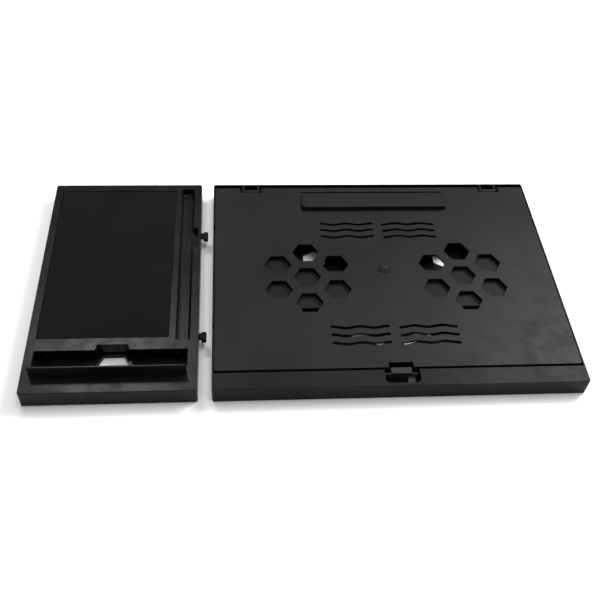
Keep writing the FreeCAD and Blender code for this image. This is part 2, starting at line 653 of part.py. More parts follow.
def latch_spring():
    """Coil spring that returns the latch."""
    start, end = LATCH_POCKET_FRONT + 0.3, -139.3
    coil_r, wire_r = 1.1, 0.2
    helix = Part.makeHelix((end - start) / 6, end - start, coil_r)
    ring = Part.Wire([Part.makeCircle(wire_r, V(coil_r, 0, 0), V(0, 1, 0))])
    coil = Part.Wire(helix).makePipeShell([ring], True, True)
    coil.rotate(V(0, 0, 0), V(1, 0, 0), -90)
    coil.translate(V(SPRING_X, start, SPRING_Z))
    return coil


# ---- side tray -------------------------------------------------------------
def pen_groove():
    """Long pen trough with a rounded rear end and a finger scoop."""
    x0, x1 = PEN_X
    y0, y1 = PEN_Y
    trough = block(x0, x1, y0, y1, PEN_FLOOR, TOP_Z + 1)
    trough = trough.makeFillet(PEN_END_R, edges_along(trough, V(0, 0, 1), lambda p: p.y > y1 - 1))
    lowest = [e for e in trough.Edges if abs(e.BoundBox.ZMax - PEN_FLOOR) < 1e-6]
    trough = trough.makeFillet(PEN_BOTTOM_R, lowest)
    sx0, sx1, sy0, sy1, sz = SCOOP
    scoop = block(sx0, sx1, sy0, sy1, sz, TOP_Z + 1)
    scoop = scoop.makeFillet(2.5, edges_along(scoop, V(0, 0, 1), lambda p: p.x > sx1 - 0.1))
    return trough.fuse(scoop)


def device_slot():
    """Deep slot across the front for a phone or card, with a finger notch."""
    x0, x1 = SLOT_X
    y0, y1 = SLOT_Y
    slot = block(x0, x1, y0, y1, SLOT_FLOOR, TOP_Z + 1)
    slot = slot.makeFillet(0.4, edges_along(slot, V(0, 0, 1), lambda p: p.y < y0 + 1))
    slot = slot.makeFillet(0.8, edges_along(slot, V(0, 0, 1), lambda p: p.y > y1 - 1))
    notch = prism_z([(-17.4, y1 - 1), (-15.5, -91.6), (15.5, -91.6), (17.4, y1 - 1)], SLOT_FLOOR, TOP_Z + 1)
    return slot.fuse(notch)


def finger_hole(z0, z1):
    """Opening under the finger notch, right through the underside."""
    return prism_z([(-17.0, -107.0), (-10.5, -93.6), (10.5, -93.6), (17.0, -107.0)], z0, z1)


def tray_shell():
    """Upper shell of the tray with all its pockets."""
    body = soft_box(-HALF_TRAY, HALF_TRAY, -HALF_D, HALF_D, FOOT_H, TOP_Z, 2.5, 0.7)
    inner_x = HALF_TRAY - 2.2
    skin = 3.0
    body = body.cut(block(-inner_x, inner_x, -HALF_D + 2.2, HALF_D - 2.2, 0, TOP_Z - skin))
    added = [block(PEN_X[0] - PEN_WALL, PEN_X[1] + PEN_WALL, PEN_Y[0] - PEN_WALL, PEN_Y[1] + PEN_WALL,
                   PEN_FLOOR - PEN_WALL, TOP_Z - 1)]
    added.append(block(SCOOP[0], HALF_TRAY - 1, SCOOP[2] - PEN_WALL, SCOOP[3] + PEN_WALL,
                       SCOOP[4] - PEN_WALL, TOP_Z - 1))
    added.append(block(SLOT_X[0] - 2.2, SLOT_X[1] + 2.2, SLOT_Y[0] - 2.0, SLOT_Y[1] + 2.0, FLOOR_TOP + 0.2,
                       TOP_Z - 1))
    added.append(block(-19.5, 19.5, SLOT_Y[1], -89.8, FLOOR_TOP + 0.2, TOP_Z - 1))
    added += [tube(3.6, (x, y, FLOOR_TOP + 0.1), (x, y, TOP_Z - skin + 0.5)) for x, y in TRAY_BOSSES]
    body = join([body] + added)
    mat = block(MAT_BOX[0], MAT_BOX[1], MAT_BOX[2], MAT_BOX[3], TOP_Z - MAT_DEPTH, TOP_Z + 1)
    mat = mat.makeFillet(2.0, edges_along(mat, V(0, 0, 1)))
    cuts = [mat, pen_groove(), device_slot(), finger_hole(0, SLOT_FLOOR + 1)]
    cuts.append(tube(FLAP_PIN_R, (SLOT_X[0] - 2, FLAP_Y, FLAP_Z), (SLOT_X[1] + 2, FLAP_Y, FLAP_Z)))
    cuts += [tube(1.3, (x, y, 0), (x, y, 11)) for x, y in TRAY_BOSSES]
    cuts += [block(inner_x - 1, HALF_TRAY + 1, y - 3.6, y + 3.6, 7.4, 10.6) for y in HOOK_Y]
    cuts += [block(inner_x + 0.3, HALF_TRAY + 1, y - 3.6, y + 3.6, 7.4, 16.1) for y in HOOK_Y]
    body = body.cut(join(cuts))
    # rests for the closed flap on the slot's rear wall
    nubs = [block(x - 2, x + 2, SLOT_Y[1] - 2.4, SLOT_Y[1] + 0.5, SLOT_FLOOR - 0.5, 15.6) for x in (-65, 65)]
    return join([body] + nubs)


def tray_bottom():
    """Cover that closes the tray from below."""
    half_w = HALF_TRAY - 2.4
    half_d = HALF_D - 2.4
    plate = soft_box(-half_w, half_w, -half_d, half_d, FOOT_H, FLOOR_TOP, 1.5, 0)
    cuts = [finger_hole(0, 10)]
    cuts += [tube(1.7, (x, y, 0), (x, y, 10)) for x, y in TRAY_BOSSES]
    cuts += [tube(3.4, (x, y, 0), (x, y, FOOT_H + 1.0)) for x, y in TRAY_BOSSES]
    cuts += [tube(6.2, (x, y, 0), (x, y, FOOT_H + 1.0)) for x, y in TRAY_FEET]
    return plate.cut(join(cuts))


def tray_screws():
    """Screws from below into the shell's bosses."""
    return group([screw(x, y, FOOT_H + 1.0, 0.9, 3.0, 1.25, 9.5) for x, y in TRAY_BOSSES])


def mat_piece(inset, z0, z1):
    """Rectangle in the mat's pocket."""
    x0, x1, y0, y1 = MAT_BOX
    body = block(x0 + inset, x1 - inset, y0 + inset, y1 - inset, z0, z1)
    return body.makeFillet(1.8, edges_along(body, V(0, 0, 1)))


def flap_profile(x0, x1):
    """Flap plate with a curved heel round the pivot."""
    outer = FLAP_Y - FLAP_R
    plate = block(x0, x1, outer, outer + FLAP_T, FLAP_Z, FLAP_Z + FLAP_TIP)
    plate = plate.makeFillet(0.7, edges_along(plate, V(1, 0, 0), lambda p: p.z > FLAP_Z + 10))
    heel = tube(FLAP_R, (x0, FLAP_Y, FLAP_Z), (x1, FLAP_Y, FLAP_Z))
    heel = heel.cut(tube(FLAP_R - FLAP_T, (x0 - 1, FLAP_Y, FLAP_Z), (x1 + 1, FLAP_Y, FLAP_Z)))
    wedge = prism_x([(FLAP_Y, FLAP_Z), (FLAP_Y - 20, FLAP_Z), (FLAP_Y - 20, FLAP_Z - 20)], x0, x1)
    return plate.fuse(heel.common(wedge))


def device_flap():
    """Hinged flap: a rest behind a standing phone, or a cover over the slot."""
    x0, x1 = SLOT_X[0] + 0.4, SLOT_X[1] - 0.4
    parts = [flap_profile(x0, x1)]
    outer = FLAP_Y - FLAP_R
    arm = [(outer + 1, FLAP_Z - 3.0), (FLAP_Y, FLAP_Z - 2.6), (FLAP_Y + 2.6, FLAP_Z), (FLAP_Y, FLAP_Z + 2.6),
           (outer + 1, FLAP_Z + 11)]
    for a, b in ((x0, x0 + 1.8), (x1 - 1.8, x1)):
        parts.append(prism_x(arm, a, b))
    for x in (-38, 0, 38):
        parts.append(prism_x([(outer + 1, FLAP_Z + 1), (outer + 4.0, FLAP_Z + 1), (outer + 1, FLAP_Z + 14)],
                             x - 0.7, x + 0.7))
    body = join(parts)
    return body.cut(tube(FLAP_PIN_R + 0.05, (x0 - 1, FLAP_Y, FLAP_Z), (x1 + 1, FLAP_Y, FLAP_Z)))


def flap_pins():
    """Stub pins of the flap, fixed in the slot's end walls."""
    left = tube(FLAP_PIN_R, (SLOT_X[0] - 1.8, FLAP_Y, FLAP_Z), (SLOT_X[0] + 2.2, FLAP_Y, FLAP_Z))
    right = tube(FLAP_PIN_R, (SLOT_X[1] - 2.2, FLAP_Y, FLAP_Z), (SLOT_X[1] + 1.8, FLAP_Y, FLAP_Z))
    return group([left, right])


def dock_hook(y):
    """Clip-in tab that reaches into the main unit's wall; its flange lies inside the tray's wall."""
    edge = HALF_TRAY
    flange = block(edge - 4.4, edge - 2.2, y - 6, y + 6, 5.6, 10.4)
    root = block(edge - 3.0, edge - 1.0, y - 3.4, y + 3.4, 7.5, 10.4)
    riser = block(edge - 1.8, edge, y - 3.4, y + 3.4, 7.5, 15.9)
    neck = block(edge - 1.0, edge + 5, y - 3.4, y + 3.4, 12.6, 15.9)
    head = block(edge + 2.6, edge + 8, y - 5.6, y + 5.0, 11.2, 15.9)
    head = head.makeFillet(1.2, edges_along(head, V(0, 0, 1)))
    return join([flange, root, riser, neck, head])


# ---- build -----------------------------------------------------------------
def build():
    """All nodes by name, each at its place."""
    main = {
        "base_housing": base_housing(),
        "deck_plate": deck_plate(),
        "deck_screws": deck_screws(),
        "base_feet": rubber_feet(MAIN_FEET),
        "hinge_pins": hinge_pins(),
        "top_plate": top_plate(),
        "badge_disc": badge_disc(),
        "laptop_stop": laptop_stop(),
        "stop_pins": stop_pins(),
        "prop_stand": prop_stand(),
        "prop_pin": prop_pin(),
        "prop_grip": prop_grip(),
        "latch_button": latch_button(),
        "latch_spring": latch_spring(),
        "fan_screws": fan_screws(),
        "fan_leads": fan_leads(),
        "socket_board": socket_board(),
        "power_socket": power_socket(),
    }
    for name, side in (("left", -1), ("right", 1)):
        main["fan_frame_" + name] = fan_frame(side)
        main["fan_bearing_" + name] = fan_bearing(side)
        main["fan_stator_" + name] = fan_stator(side)
        main["fan_rotor_" + name] = fan_rotor(side)
        main["fan_shaft_" + name] = fan_shaft(side)
    mat_floor = TOP_Z - MAT_DEPTH
    tray = {
        "tray_shell": tray_shell(),
        "tray_bottom": tray_bottom(),
        "tray_screws": tray_screws(),
        "tray_feet": rubber_feet(TRAY_FEET),
        "mat_adhesive": mat_piece(1.5, mat_floor, mat_floor + 0.2),
        "mouse_mat": mat_piece(0.5, mat_floor + 0.2, TOP_Z - 0.3),
        "device_flap": device_flap(),
        "flap_pins": flap_pins(),
        "dock_hook_rear": dock_hook(HOOK_Y[0]),
        "dock_hook_front": dock_hook(HOOK_Y[1]),
    }
    nodes = {name: at_main(shape) for name, shape in main.items()}
    nodes.update({name: at_tray(shape) for name, shape in tray.items()})
    return nodes


os.makedirs("parts", exist_ok=True)
for node_name, node_shape in build().items():
    node_shape.exportStep("parts/" + node_name + ".step")
    print(node_name, len(node_shape.Solids), node_shape.isValid(), round(node_shape.Volume, 1))
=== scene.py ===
import json
import math

import bmesh
import bpy
from mathutils import Euler, Matrix, Vector


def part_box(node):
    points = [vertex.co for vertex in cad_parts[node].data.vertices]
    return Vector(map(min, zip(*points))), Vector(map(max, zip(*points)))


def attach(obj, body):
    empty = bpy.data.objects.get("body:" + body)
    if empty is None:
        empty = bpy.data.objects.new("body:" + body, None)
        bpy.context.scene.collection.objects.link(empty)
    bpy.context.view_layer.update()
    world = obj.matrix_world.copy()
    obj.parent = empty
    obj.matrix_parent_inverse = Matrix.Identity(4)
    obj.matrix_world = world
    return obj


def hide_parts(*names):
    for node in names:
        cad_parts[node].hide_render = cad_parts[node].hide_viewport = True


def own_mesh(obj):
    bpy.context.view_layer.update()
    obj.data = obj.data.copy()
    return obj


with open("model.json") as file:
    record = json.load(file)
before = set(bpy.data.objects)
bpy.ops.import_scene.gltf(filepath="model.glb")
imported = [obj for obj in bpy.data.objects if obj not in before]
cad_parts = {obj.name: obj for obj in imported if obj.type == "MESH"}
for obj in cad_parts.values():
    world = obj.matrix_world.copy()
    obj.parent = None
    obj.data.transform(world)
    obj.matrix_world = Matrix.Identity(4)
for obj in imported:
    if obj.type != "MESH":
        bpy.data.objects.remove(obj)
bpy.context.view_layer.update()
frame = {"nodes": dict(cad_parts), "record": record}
NODES = frame["nodes"]
SCENE = bpy.context.scene


# ---- camera ------------------------------------------------------------------
CAMERA_AT = (-0.0720, -0.6034, 0.6829)
CAMERA_HEADING = math.radians(6.79)      # turned right of +Y
CAMERA_DIP = math.radians(49.20)         # below the horizon
CAMERA_ROLL = math.radians(-4.34)
CAMERA_LENS = 48.85                      # mm
CAMERA_SENSOR = 36.0                     # mm


def make_camera():
    """Camera at the photographed view of the two units."""
    data = bpy.data.cameras.new("camera")
    data.lens = CAMERA_LENS
    data.sensor_width = CAMERA_SENSOR
    data.clip_end = 20
    camera = bpy.data.objects.new("camera", data)
    SCENE.collection.objects.link(camera)
    aim = Euler((math.pi / 2 - CAMERA_DIP, 0, -CAMERA_HEADING), "XYZ").to_matrix()
    roll = Matrix.Rotation(-CAMERA_ROLL, 3, "Z")
    camera.matrix_world = Matrix.Translation(CAMERA_AT) @ (aim @ roll).to_4x4()
    SCENE.camera = camera


# ---- stage and light ---------------------------------------------------------
FLOOR_HALF = 3.0
FLOOR_WHITE = 0.93
WORLD_STRENGTH = 0.36
# name, place, point it looks at, size in metres and watts
LAMPS = (
    ("right_back", (0.94, 0.48, 1.12), (0.22, -0.08, 0.0), (0.6, 0.5), 22),
    ("back_soft", (0.50, 0.95, 1.3), (0.1, 0.0, 0.0), (1.2, 0.6), 2.5),
    ("tray_glow", (-0.42, 0.74, 1.2), (-0.2, -0.1, 0.0), (0.36, 0.22), 5.4),
    ("top_fill", (0.35, 0.0, 3.2), (0.0, 0.0, 0.0), (1.6, 1.4), 38),
)


def area_light(name, at, aim, size, watts):
    """Soft rectangular lamp at a point, looking at another."""
    data = bpy.data.lights.new(name, "AREA")
    data.shape = "RECTANGLE"
    data.size, data.size_y = size
    data.energy = watts
    lamp = bpy.data.objects.new(name, data)
    lamp.location = at
    lamp.rotation_euler = (Vector(aim) - Vector(at)).to_track_quat("-Z", "Y").to_euler()
    SCENE.collection.objects.link(lamp)


def make_stage():
    """White floor, white surroundings and soft studio lamps."""
    mesh = bpy.data.meshes.new("floor")
    half = FLOOR_HALF
    corners = [(-half, -half, 0), (half, -half, 0), (half, half, 0), (-half, half, 0)]
    mesh.from_pydata(corners, [], [(0, 1, 2, 3)])
    floor = bpy.data.objects.new("floor", mesh)
    SCENE.collection.objects.link(floor)
    material, _, _, shader = new_material("floor_white")
    shader.inputs["Base Color"].default_value = (FLOOR_WHITE, FLOOR_WHITE, FLOOR_WHITE, 1)
    shader.inputs["Roughness"].default_value = 0.9
    shader.inputs["Specular IOR Level"].default_value = 0.0
    mesh.materials.append(material)
    world = bpy.data.worlds.new("studio")
    world.use_nodes = True
    background = world.node_tree.nodes["Background"]
    background.inputs["Color"].default_value = (1, 1, 1, 1)
    background.inputs["Strength"].default_value = WORLD_STRENGTH
    SCENE.world = world
    for lamp in LAMPS:
        area_light(*lamp)
    SCENE.view_settings.view_transform = "Standard"


# ---- materials ---------------------------------------------------------------
def new_material(name):
    """Material with its node tree and principled shader."""
    material = bpy.data.materials.new(name)
    material.use_nodes = True
    nodes = material.node_tree.nodes
    return material, nodes, material.node_tree.links, nodes["Principled BSDF"]


def object_coords(nodes):
    """Coordinates that stay fixed to the piece."""
    return nodes.new("ShaderNodeTexCoord").outputs["Object"]


def shade(colour, factor, lift=0.0):
    """Colour multiplied by a factor, with a constant added."""
    return tuple(c * factor + lift for c in colour)


def grey(value):
    """Colour with three equal channels."""
    return (value, value, value)


def product(nodes, links, a, b):
    """Product of two factors."""
    node = nodes.new("ShaderNodeMath")
    node.operation = "MULTIPLY"
    links.new(a, node.inputs[0])
    links.new(b, node.inputs[1])
    return node.outputs["Value"]


def stretched(nodes, links, coords, scale, turn=0.0):
    """Coordinates scaled along the axes and turned about Z."""
    node = nodes.new("ShaderNodeMapping")
    node.inputs["Scale"].default_value = scale
    node.inputs["Rotation"].default_value = (0, 0, turn)
    links.new(coords, node.inputs["Vector"])
    return node.outputs["Vector"]


def band_wave(nodes, links, coords, direction, scale, distortion):
    """Wave node with straight bands across one axis."""
    node = nodes.new("ShaderNodeTexWave")
    node.wave_type = "BANDS"
    node.bands_direction = direction
    node.inputs["Scale"].default_value = scale
    node.inputs["Distortion"].default_value = distortion
    links.new(coords, node.inputs["Vector"])
    return node


def noise(nodes, links, coords, scale, detail=3.0, rough=0.55):
    """Noise factor over the given coordinates."""
    node = nodes.new("ShaderNodeTexNoise")
    node.inputs["Scale"].default_value = scale
    node.inputs["Detail"].default_value = detail
    node.inputs["Roughness"].default_value = rough
    links.new(coords, node.inputs["Vector"])
    return node.outputs["Fac"]


def ramp(nodes, links, factor, stops):
    """Colour ramp through (position, value or colour) stops."""
    node = nodes.new("ShaderNodeValToRGB")
    points = node.color_ramp.elements
    while len(points) < len(stops):
        points.new(0.5)
    for point, (position, colour) in zip(points, stops):
        point.position = position
        if not hasattr(colour, "__len__"):
            colour = grey(colour)
        point.color = (*colour, 1)
    links.new(factor, node.inputs["Fac"])
    return node.outputs["Color"]


def bump(nodes, links, height, strength, distance, normal=None):
    """Bump from a height factor, on top of another normal."""
    node = nodes.new("ShaderNodeBump")
    node.inputs["Strength"].default_value = strength
    node.inputs["Distance"].default_value = distance
    links.new(height, node.inputs["Height"])
    if normal:
        links.new(normal, node.inputs["Normal"])
    return node.outputs["Normal"]


# product of the rounded and the flat normal where a spot is fully edge, and where it is flat
EDGE_FULL = 0.86
EDGE_NONE = 0.995
EDGE_SAMPLES = 6


def edge_mask(nodes, links, radius):
    """Mask along sharp edges, where a rounded normal leaves the flat one; it places both rubbed
    wear and a painted edge highlight.
    """
    bevel = nodes.new("ShaderNodeBevel")
    bevel.samples = EDGE_SAMPLES
    bevel.inputs["Radius"].default_value = radius
    geometry = nodes.new("ShaderNodeNewGeometry")
    dot = nodes.new("ShaderNodeVectorMath")
    dot.operation = "DOT_PRODUCT"
    links.new(bevel.outputs["Normal"], dot.inputs[0])
    links.new(geometry.outputs["Normal"], dot.inputs[1])
    return ramp(nodes, links, dot.outputs["Value"], [(EDGE_FULL, 1.0), (EDGE_NONE, 0.0)])


# places of the colour sockets on a mix node, whose sockets share their names
MIX_A = 6
MIX_B = 7
MIX_RESULT = 2


def mix_colour(nodes, links, factor, a, b):
    """Colour mix; a and b are sockets or colours."""
    node = nodes.new("ShaderNodeMix")
    node.data_type = "RGBA"
    links.new(factor, node.inputs["Factor"])
    for value, socket in ((a, node.inputs[MIX_A]), (b, node.inputs[MIX_B])):
        if hasattr(value, "is_output"):
            links.new(value, socket)
        else:
            socket.default_value = (*value, 1)
    return node.outputs[MIX_RESULT]


CLOUD_SCALE = 7.0
FLOW_SCALE = 21.0
FLOW_STRETCH = (1.0, 5.0, 1.0)
FLOW_TURN = 0.35
GRAIN_SCALE = 1500.0
HAZE_SCALE = 45.0
EDGE_WEAR_HIGHLIGHT_RADIUS = 0.0007
SMEAR_ROUGH = (-0.05, 0.06)              # added to the roughness, from one flow line to the next
DUST_ROUGH = 0.16                        # added to the roughness under the haze
WEAR_AND_HIGHLIGHT = 0.5
COAT_ROUGH = 0.12
GRAIN_DEPTH = 0.00004
RIPPLE_DEPTH = 0.00012
PLASTIC_IOR = 1.50


def moulded(name, colour, rough=0.42, gloss=0.12, ripple=0.25, coat=0.0):
    """Injection-moulded plastic: spark-eroded grain, flow clouds, handling haze, and edges
    lightened partly by rubbed wear and partly as a painted highlight.
    """
    material, nodes, links, shader = new_material(name)
    coords = object_coords(nodes)
    clouds = noise(nodes, links, coords, CLOUD_SCALE, detail=4)
    flow = stretched(nodes, links, coords, FLOW_STRETCH, FLOW_TURN)
    flow_lines = noise(nodes, links, flow, FLOW_SCALE, detail=5, rough=0.6)
    grain = noise(nodes, links, coords, GRAIN_SCALE, detail=2, rough=0.5)
    haze = noise(nodes, links, coords, HAZE_SCALE, detail=5, rough=0.62)
    dark, light = shade(colour, 0.78), shade(colour, 1.30, 0.001)
    base = ramp(nodes, links, clouds, [(0.35, dark), (0.65, light)])
    edges = edge_mask(nodes, links, EDGE_WEAR_HIGHLIGHT_RADIUS)
    rubbed_and_highlit = ramp(nodes, links, haze, [(0.4, 0.15 * WEAR_AND_HIGHLIGHT), (0.7, WEAR_AND_HIGHLIGHT)])
    # edges lightened partly as rubbed wear and partly as a painted highlight along them
    scuff_and_highlight = product(nodes, links, edges, rubbed_and_highlit)
    worn_and_highlit = shade(colour, 2.6, 0.012)
    links.new(mix_colour(nodes, links, scuff_and_highlight, base, worn_and_highlit), shader.inputs["Base Color"])
    low, high = (grey(rough + change) for change in SMEAR_ROUGH)
    smear = mix_colour(nodes, links, flow_lines, low, high)
    dust = ramp(nodes, links, haze, [(0.45, 0.0), (0.75, 1.0)])
    dusty = mix_colour(nodes, links, dust, smear, grey(rough + DUST_ROUGH))
    links.new(dusty, shader.inputs["Roughness"])
    shader.inputs["Specular IOR Level"].default_value = gloss
    shader.inputs["IOR"].default_value = PLASTIC_IOR
    if coat:
        shader.inputs["Coat Weight"].default_value = coat
        shader.inputs["Coat Roughness"].default_value = COAT_ROUGH
    normal = bump(nodes, links, grain, strength=0.35, distance=GRAIN_DEPTH)
    normal = bump(nodes, links, flow_lines, ripple, RIPPLE_DEPTH, normal=normal)
    links.new(normal, shader.inputs["Normal"])
    return material


# Badge colours: a painted highlight slanting across the middle, from its shaded side to its pale
# side, and painted shade in the sunk ring.
DISC_SHADED_SIDE = (0.0030, 0.0031, 0.0035)
DISC_HIGHLIGHT = (0.026, 0.0265, 0.0285)
DISC_RING_SHADE = (0.0015, 0.0015, 0.0018)
DISC_HIGHLIGHT_SLANT = (0.35, 0.6, 0)              # direction in which the painted highlight makes the middle paler


def pressed_disc(name):
    """Pressed disc: sunk ring near the rim darkened with painted shade, fine turned lines and a
    painted highlight that makes the middle paler along a slant.
    """
    material, nodes, links, shader = new_material(name)
    centred = nodes.new("ShaderNodeMapping")
    centred.inputs["Location"].default_value = (-1.0, -1.0, 0)
    centred.inputs["Scale"].default_value = (2.0, 2.0, 0)
    links.new(nodes.new("ShaderNodeTexCoord").outputs["Generated"], centred.inputs["Vector"])
    length = nodes.new("ShaderNodeVectorMath")
    length.operation = "LENGTH"
    links.new(centred.outputs["Vector"], length.inputs[0])
    radius = length.outputs["Value"]
    highlight_slant = nodes.new("ShaderNodeVectorMath")
    highlight_slant.operation = "DOT_PRODUCT"
    highlight_slant.inputs[1].default_value = DISC_HIGHLIGHT_SLANT
    links.new(centred.outputs["Vector"], highlight_slant.inputs[0])
    # painted shade: the sunk ring near the rim is coloured darker
    ring = ramp(nodes, links, radius, [(0.60, 0.0), (0.68, 1.0), (0.86, 1.0), (0.94, 0.15)])
    # painted highlight: the middle turns paler along the slant direction
    middle = ramp(nodes, links, highlight_slant.outputs["Value"], [(0.0, DISC_SHADED_SIDE), (0.35, DISC_HIGHLIGHT)])
    links.new(mix_colour(nodes, links, ring, middle, DISC_RING_SHADE), shader.inputs["Base Color"])
    turned = nodes.new("ShaderNodeTexWave")
    turned.wave_type = "RINGS"
    turned.rings_direction = "Z"
    turned.inputs["Scale"].default_value = 6.0
    turned.inputs["Distortion"].default_value = 0.4
    links.new(centred.outputs["Vector"], turned.inputs["Vector"])
    links.new(ramp(nodes, links, turned.outputs["Fac"], [(0.2, 0.30), (0.8, 0.44)]),
              shader.inputs["Roughness"])
    normal = bump(nodes, links, turned.outputs["Fac"], strength=0.15, distance=0.00003)
    groove = ramp(nodes, links, radius, [(0.60, 1.0), (0.70, 0.0), (0.84, 0.0), (0.94, 1.0)])
    normal = bump(nodes, links, groove, strength=0.4, distance=0.0002, normal=normal)
    links.new(normal, shader.inputs["Normal"])
    shader.inputs["Specular IOR Level"].default_value = 0.12
    return material


def rubber(name, colour):
    """Matt rubber with a powdery bloom."""
    material, nodes, links, shader = new_material(name)
    coords = object_coords(nodes)
    bloom = noise(nodes, links, coords, scale=260, detail=5, rough=0.65)
    light = shade(colour, 2.0, 0.01)
    links.new(ramp(nodes, links, bloom, [(0.4, colour), (0.75, light)]),
              shader.inputs["Base Color"])
    links.new(ramp(nodes, links, bloom, [(0.3, 0.72), (0.7, 0.92)]), shader.inputs["Roughness"])
    pores = noise(nodes, links, coords, scale=2400, detail=2)
    links.new(bump(nodes, links, pores, strength=0.5, distance=0.00006), shader.inputs["Normal"])
    shader.inputs["Specular IOR Level"].default_value = 0.3
    return material


def metal(name, colour, rough, streak=(1, 1, 60)):
    """Plated or drawn metal with fine streaks and dull spots."""
    material, nodes, links, shader = new_material(name)
    coords = object_coords(nodes)
    lines = noise(nodes, links, stretched(nodes, links, coords, streak), scale=400.0, detail=3)
    spots = noise(nodes, links, coords, scale=700, detail=4)
    dull = shade(colour, 0.72)
    links.new(ramp(nodes, links, spots, [(0.35, dull), (0.6, colour)]), shader.inputs["Base Color"])
    links.new(ramp(nodes, links, lines, [(0.3, rough), (0.7, rough + 0.18)]),
              shader.inputs["Roughness"])
    links.new(bump(nodes, links, lines, strength=0.3, distance=0.00002), shader.inputs["Normal"])
    shader.inputs["Metallic"].default_value = 1.0
    return material


GAP_COPPER = (0.10, 0.03, 0.01)
WIRE_COPPER = (0.62, 0.24, 0.08)


def windings(name):
    """Enamelled copper wire, wound in fine turns."""
    material, nodes, links, shader = new_material(name)
    wave = band_wave(nodes, links, object_coords(nodes), "Z", scale=900, distortion=1.5)
    turns = wave.outputs["Fac"]
    links.new(ramp(nodes, links, turns, [(0.1, GAP_COPPER), (0.7, WIRE_COPPER)]),
              shader.inputs["Base Color"])
    links.new(ramp(nodes, links, turns, [(0.0, 0.5), (1.0, 0.28)]), shader.inputs["Roughness"])
    links.new(bump(nodes, links, turns, strength=0.8, distance=0.0002), shader.inputs["Normal"])
    shader.inputs["Metallic"].default_value = 0.8
    return material


MASK_GREEN = (0.012, 0.10, 0.035)
TRACK_GREEN = (0.05, 0.22, 0.07)


def circuit(name):
    """Green solder mask over faint copper tracks."""
    material, nodes, links, shader = new_material(name)
    coords = object_coords(nodes)
    cells = nodes.new("ShaderNodeTexVoronoi")
    cells.feature = "DISTANCE_TO_EDGE"
    cells.inputs["Scale"].default_value = 240
    links.new(coords, cells.inputs["Vector"])
    tracks = ramp(nodes, links, cells.outputs["Distance"], [(0.03, 1.0), (0.06, 0.0)])
    links.new(mix_colour(nodes, links, tracks, MASK_GREEN, TRACK_GREEN),
              shader.inputs["Base Color"])
    links.new(ramp(nodes, links, noise(nodes, links, coords, scale=500), [(0.3, 0.3), (0.7, 0.42)]),
              shader.inputs["Roughness"])
    links.new(bump(nodes, links, tracks, strength=0.5, distance=0.00005),
              shader.inputs["Normal"])
    return material


def film(name):
    """Milky adhesive film."""
    material, nodes, links, shader = new_material(name)
    coords = object_coords(nodes)
    cloud = noise(nodes, links, coords, scale=90, detail=4)
    links.new(ramp(nodes, links, cloud, [(0.3, (0.46, 0.45, 0.41)), (0.7, (0.58, 0.57, 0.53))]),
              shader.inputs["Base Color"])
    links.new(ramp(nodes, links, cloud, [(0.3, 0.5), (0.7, 0.7)]), shader.inputs["Roughness"])
    return material


YARN_SCALE = 420
GROUND_DARK = (0.0030, 0.0030, 0.0031)
GROUND_LIGHT = (0.0050, 0.0050, 0.0052)
YARN_COLOUR = (0.0075, 0.0075, 0.0077)
LINT_COLOUR = (0.018, 0.018, 0.018)


def cloth(name):
    """Fine knitted mat surface: crossing yarns, loose fibres and a soft sheen."""
    material, nodes, links, shader = new_material(name)
    coords = object_coords(nodes)
    heights = []
    for direction in ("X", "Y"):
        wave = band_wave(nodes, links, coords, direction, YARN_SCALE, distortion=0.6)
        wave.inputs["Detail"].default_value = 1.0
        heights.append(wave.outputs["Fac"])
    weave = product(nodes, links, *heights)
    fibres = noise(nodes, links, coords, scale=2600, detail=3, rough=0.7)
    patches = noise(nodes, links, coords, scale=16, detail=4, rough=0.6)
    ground = ramp(nodes, links, patches, [(0.3, GROUND_DARK), (0.7, GROUND_LIGHT)])
    yarn = mix_colour(nodes, links, weave, ground, YARN_COLOUR)
    lint = ramp(nodes, links, fibres, [(0.66, 0.0), (0.78, 0.5)])
    links.new(mix_colour(nodes, links, lint, yarn, LINT_COLOUR), shader.inputs["Base Color"])
    links.new(ramp(nodes, links, fibres, [(0.3, 0.9), (0.7, 1.0)]), shader.inputs["Roughness"])
    normal = bump(nodes, links, weave, strength=0.6, distance=0.00018)
    normal = bump(nodes, links, fibres, strength=0.4, distance=0.0001, normal=normal)
    links.new(normal, shader.inputs["Normal"])
    shader.inputs["Specular IOR Level"].default_value = 0.06
    shader.inputs["Sheen Weight"].default_value = 0.02
    shader.inputs["Sheen Roughness"].default_value = 0.6
    return material


